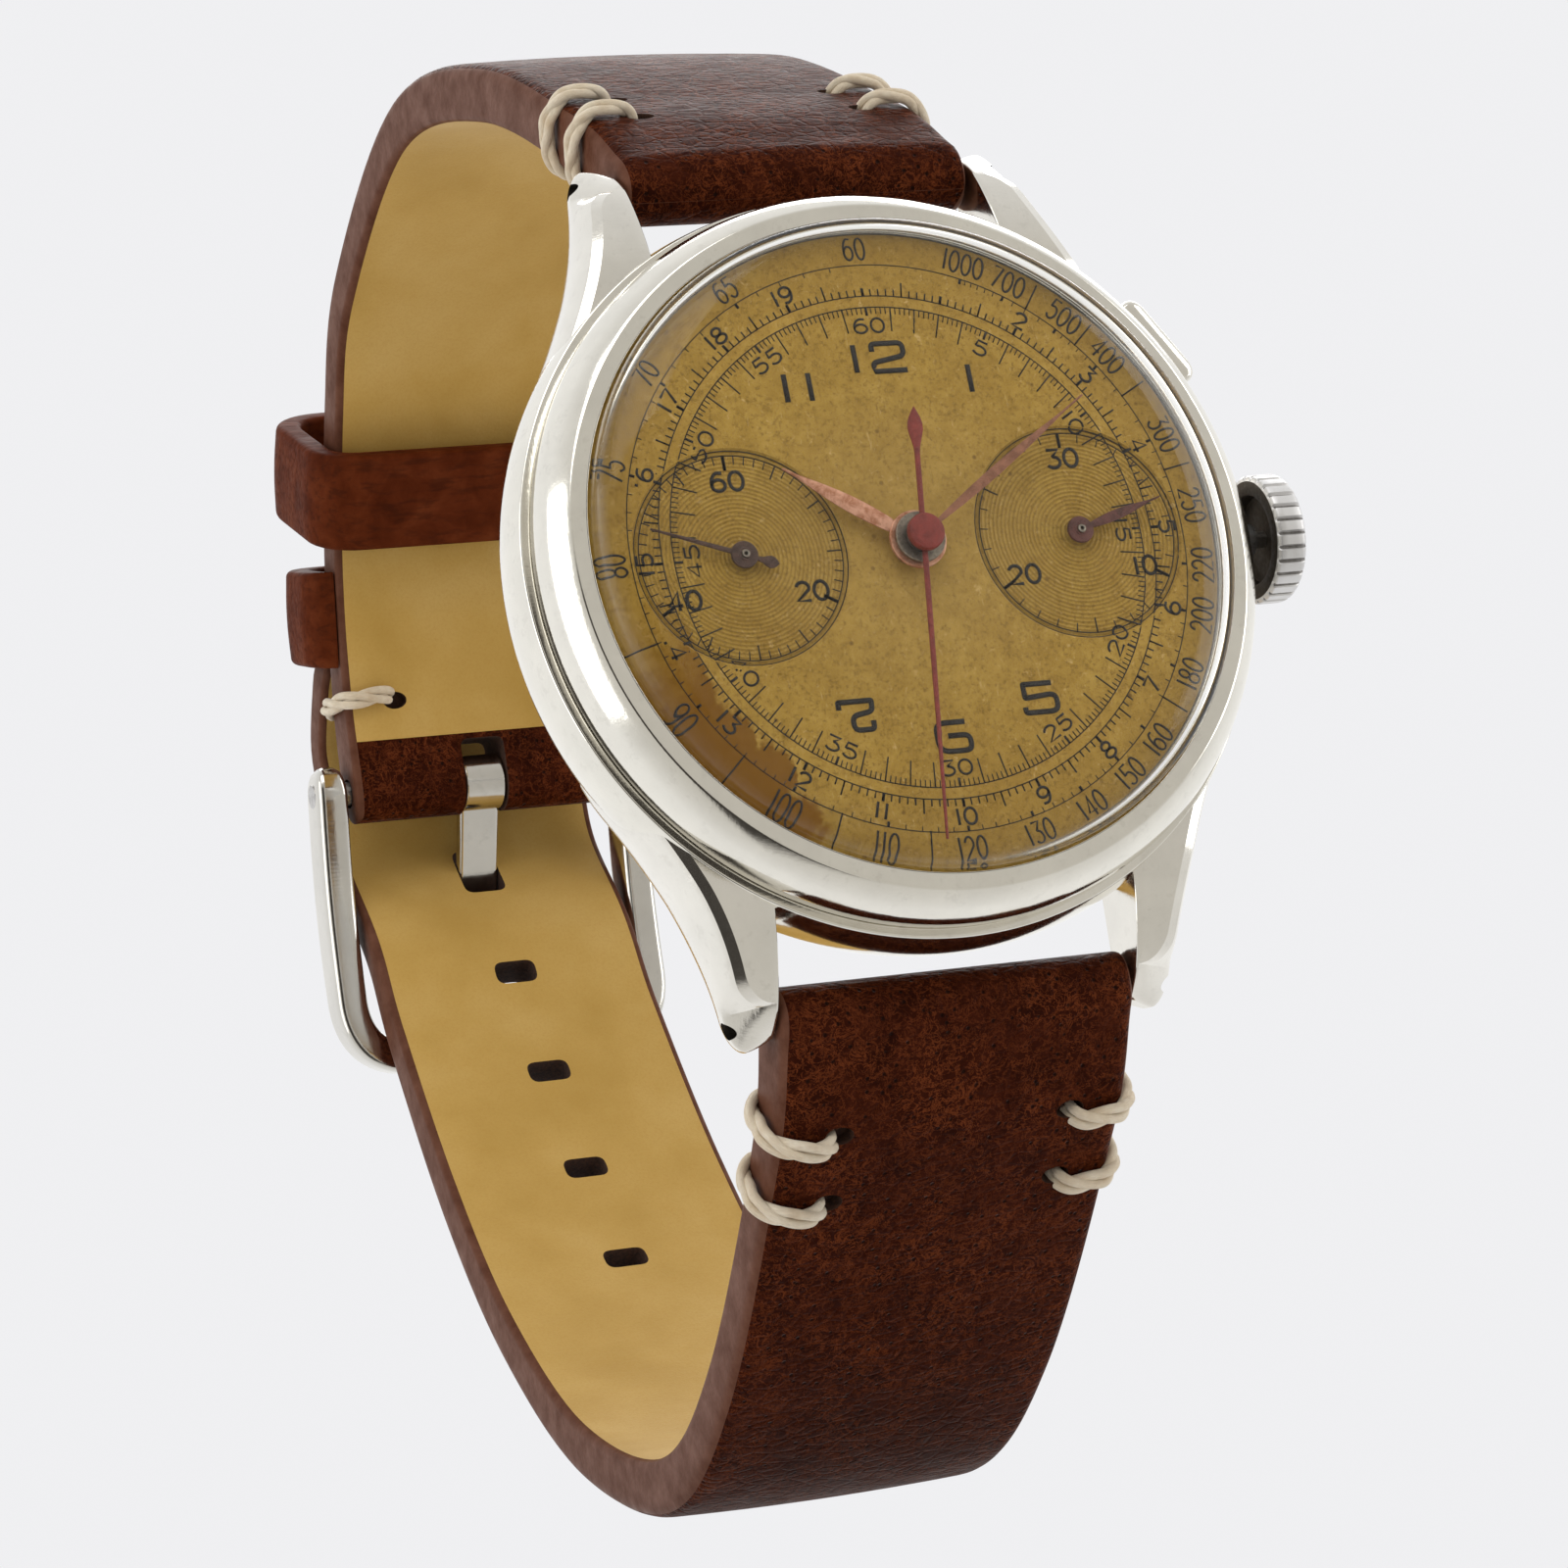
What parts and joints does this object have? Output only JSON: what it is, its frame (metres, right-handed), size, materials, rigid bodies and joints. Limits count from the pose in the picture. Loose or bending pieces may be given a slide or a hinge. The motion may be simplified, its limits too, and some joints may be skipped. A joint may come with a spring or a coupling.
{
  "type": "chronograph wristwatch",
  "caption": "Round steel chronograph wristwatch with sunk registers, a fluted crown and a flat pusher, on a buckled brown leather strap closed in a loop.",
  "frame": {"origin": "centre of the flat outer face of the case back", "axes": "+X to 3 o'clock and the crown, -Y out through the dial and crystal, +Z to 12 o'clock"},
  "size_m": [0.0398, 0.0767, 0.0791],
  "materials": {
    "polished_steel": "polished",
    "worn_steel": "worn",
    "brass": "gilt",
    "dial": "aged golden",
    "copper": "faded",
    "red": "lacquered",
    "crystal": "clear",
    "leather": "grained",
    "thread": "waxed"
  },
  "bodies": {
    "case": {"balance_cock": "brass", "bezel": "polished_steel", "buckle_bar": "polished_steel", "case_back": "polished_steel", "chronograph_bridge": "brass", "crown_tube": "worn_steel", "crystal": "crystal", "dial": "dial", "hairspring": "worn_steel", "keeper_fixed": "leather", "main_plate": "brass", "mid_case": "polished_steel", "movement_ring": "brass", "spring_bar_lower": "worn_steel", "spring_bar_upper": "worn_steel", "stitch_buckle_left_1": "thread", "stitch_buckle_right_1": "thread", "stitch_lower_left_1": "thread", "stitch_lower_left_2": "thread", "stitch_lower_right_1": "thread", "stitch_lower_right_2": "thread", "stitch_upper_left_1": "thread", "stitch_upper_left_2": "thread", "stitch_upper_right_1": "thread", "stitch_upper_right_2": "thread", "strap_long": "leather", "strap_short": "leather", "train_bridge": "brass"},
    "running_seconds": {"fourth_wheel": "brass", "small_seconds_hand": "copper"},
    "minutes": {"center_wheel": "brass", "cannon_pinion": "worn_steel", "minute_hand": "copper"},
    "hours": {"hour_wheel": "worn_steel", "hour_hand": "copper"},
    "motion_minute_wheel": {"minute_wheel": "worn_steel"},
    "third": {"third_wheel": "brass"},
    "escape": {"escape_wheel": "worn_steel"},
    "barrel": {"mainspring_barrel": "brass"},
    "chrono_seconds": {"chrono_wheel": "brass", "chrono_seconds_hand": "red"},
    "minute_counter": {"counter_wheel": "brass", "minute_counter_hand": "copper"},
    "balance": {"balance_wheel": "brass"},
    "pallets": {"pallet_fork": "worn_steel"},
    "stem_setting": {"setting_lever": "worn_steel"},
    "crown_and_stem": {"crown": "worn_steel", "winding_stem": "worn_steel"},
    "chrono_pusher": {"pusher": "polished_steel"},
    "free_keeper": {"keeper_free": "leather"},
    "buckle": {"buckle_frame": "polished_steel"},
    "tongue": {"buckle_tongue": "polished_steel"},
    "pin_upper_left": {"spring_bar_pin_upper_left": "worn_steel"},
    "pin_upper_right": {"spring_bar_pin_upper_right": "worn_steel"},
    "pin_lower_left": {"spring_bar_pin_lower_left": "worn_steel"},
    "pin_lower_right": {"spring_bar_pin_lower_right": "worn_steel"}
  },
  "joints": [
    {"name": "running_seconds_turn", "type": "hinge", "parent": "case", "child": "running_seconds", "pos_m": [-0.00855, -0.005, 0], "axis": [0, 1, 0], "continuous": true},
    {"name": "minutes_turn", "type": "hinge", "parent": "case", "child": "minutes", "pos_m": [0, -0.005, 0], "axis": [0, 1, 0], "continuous": true},
    {"name": "hours_turn", "type": "hinge", "parent": "case", "child": "hours", "pos_m": [0, -0.005, 0], "axis": [0, 1, 0], "continuous": true},
    {"name": "motion_minute_wheel_turn", "type": "hinge", "parent": "case", "child": "motion_minute_wheel", "pos_m": [0, -0.005, -0.00441], "axis": [0, 1, 0], "continuous": true},
    {"name": "third_turn", "type": "hinge", "parent": "case", "child": "third", "pos_m": [-0.00449, -0.005, 0.0008], "axis": [0, 1, 0], "continuous": true},
    {"name": "escape_turn", "type": "hinge", "parent": "case", "child": "escape", "pos_m": [-0.0074, -0.005, -0.00316], "axis": [0, 1, 0], "continuous": true},
    {"name": "barrel_turn", "type": "hinge", "parent": "case", "child": "barrel", "pos_m": [0.00283, -0.005, 0.0049], "axis": [0, 1, 0], "continuous": true},
    {"name": "chrono_seconds_turn", "type": "hinge", "parent": "case", "child": "chrono_seconds", "pos_m": [0, -0.005, 0], "axis": [0, 1, 0], "continuous": true},
    {"name": "minute_counter_turn", "type": "hinge", "parent": "case", "child": "minute_counter", "pos_m": [0.00855, -0.005, 0], "axis": [0, 1, 0], "continuous": true},
    {"name": "balance_swing", "type": "hinge", "parent": "case", "child": "balance", "pos_m": [-0.003, -0.005, -0.0093], "axis": [0, 1, 0], "range_deg": [-135, 135]},
    {"name": "pallet_rock", "type": "hinge", "parent": "case", "child": "pallets", "pos_m": [-0.00615, -0.005, -0.00532], "axis": [0, 1, 0], "range_deg": [-5, 5]},
    {"name": "stem_pull", "type": "slide", "parent": "case", "child": "stem_setting", "axis": [1, 0, 0], "range_m": [0, 0.001]},
    {"name": "crown_turn", "type": "hinge", "parent": "stem_setting", "child": "crown_and_stem", "pos_m": [0.0195, -0.0047, 0], "axis": [1, 0, 0], "continuous": true},
    {"name": "pusher_press", "type": "slide", "parent": "case", "child": "chrono_pusher", "axis": [-0.8443, 0, -0.5358], "range_m": [0, 0.001], "stiffness_N_per_m": 400, "springref_m": -0.001},
    {"name": "free_keeper_slide", "type": "slide", "parent": "case", "child": "free_keeper", "axis": [0, -0.542, 0.8404], "range_m": [-0.0016, 0.005]},
    {"name": "buckle_swing", "type": "hinge", "parent": "case", "child": "buckle", "pos_m": [0, 0.0593, 0.00859], "axis": [1, 0, 0], "range_deg": [-2.5, 0]},
    {"name": "tongue_swing", "type": "hinge", "parent": "case", "child": "tongue", "pos_m": [0, 0.0593, 0.00859], "axis": [1, 0, 0], "range_deg": [0, 6]},
    {"name": "pin_upper_left_press", "type": "slide", "parent": "case", "child": "pin_upper_left", "axis": [1, 0, 0], "range_m": [0, 0.001], "stiffness_N_per_m": 500, "springref_m": -0.001},
    {"name": "pin_upper_right_press", "type": "slide", "parent": "case", "child": "pin_upper_right", "axis": [-1, 0, 0], "range_m": [0, 0.001], "stiffness_N_per_m": 500, "springref_m": -0.001},
    {"name": "pin_lower_left_press", "type": "slide", "parent": "case", "child": "pin_lower_left", "axis": [1, 0, 0], "range_m": [0, 0.001], "stiffness_N_per_m": 500, "springref_m": -0.001},
    {"name": "pin_lower_right_press", "type": "slide", "parent": "case", "child": "pin_lower_right", "axis": [-1, 0, 0], "range_m": [0, 0.001], "stiffness_N_per_m": 500, "springref_m": -0.001}
  ],
  "couplings": [
    {"joint": "minutes_turn", "follows": "running_seconds_turn", "ratio": 0.016667},
    {"joint": "hours_turn", "follows": "running_seconds_turn", "ratio": 0.0013889},
    {"joint": "motion_minute_wheel_turn", "follows": "running_seconds_turn", "ratio": -0.0055556},
    {"joint": "third_turn", "follows": "running_seconds_turn", "ratio": -0.13333},
    {"joint": "escape_turn", "follows": "running_seconds_turn", "ratio": -10},
    {"joint": "barrel_turn", "follows": "running_seconds_turn", "ratio": -0.002381},
    {"joint": "minute_counter_turn", "follows": "chrono_seconds_turn", "ratio": 0.033333}
  ]
}
